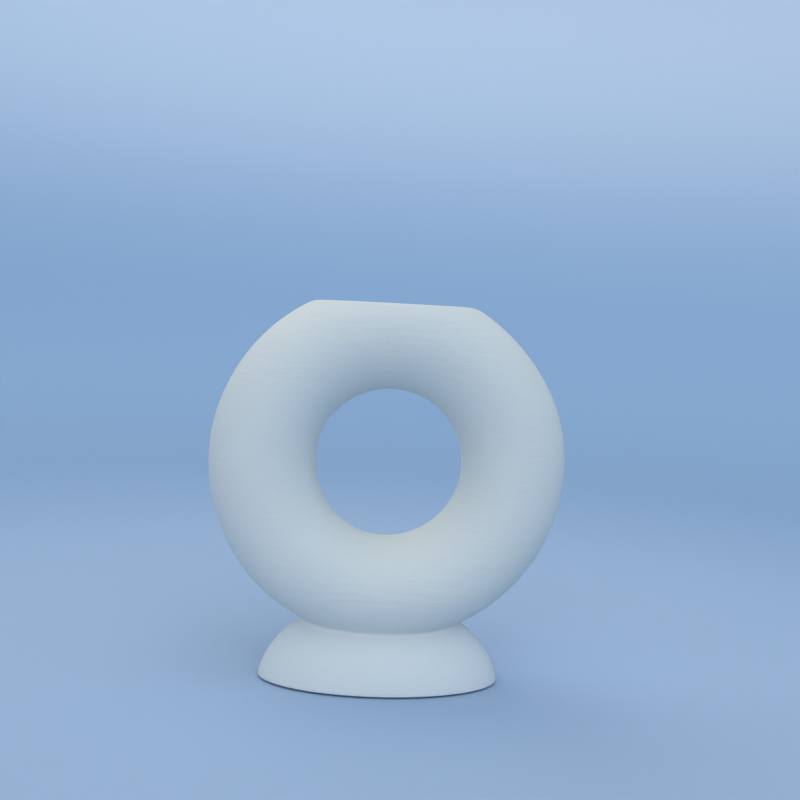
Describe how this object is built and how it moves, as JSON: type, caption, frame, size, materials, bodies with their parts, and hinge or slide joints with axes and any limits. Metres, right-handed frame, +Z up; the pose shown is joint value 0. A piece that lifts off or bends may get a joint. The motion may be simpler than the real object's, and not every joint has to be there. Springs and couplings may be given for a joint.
{
  "type": "donut vase",
  "caption": "Matte white ceramic ring vase with a round hole through it and a flat-cut oval mouth on top, standing on a flared oval foot; holds flower stems in water.",
  "frame": {"origin": "on the table, under the middle of the foot", "axes": "+Z up, towards the mouth; Y along the hole through the ring; X along the foot's long side"},
  "size_m": [0.2, 0.073, 0.2124],
  "materials": {
    "bisque": "matte",
    "joint_slip": "matte",
    "glaze": "gloss",
    "felt": "matte"
  },
  "bodies": {
    "root": {"ring_front_shell": "bisque", "ring_rear_shell": "bisque", "flared_foot": "bisque", "outer_seam_slip": "joint_slip", "inner_seam_slip": "joint_slip", "foot_joint_slip": "joint_slip", "glaze_lining": "glaze", "foot_pad_1": "felt", "foot_pad_2": "felt", "foot_pad_3": "felt", "foot_pad_4": "felt"}
  },
  "joints": []
}
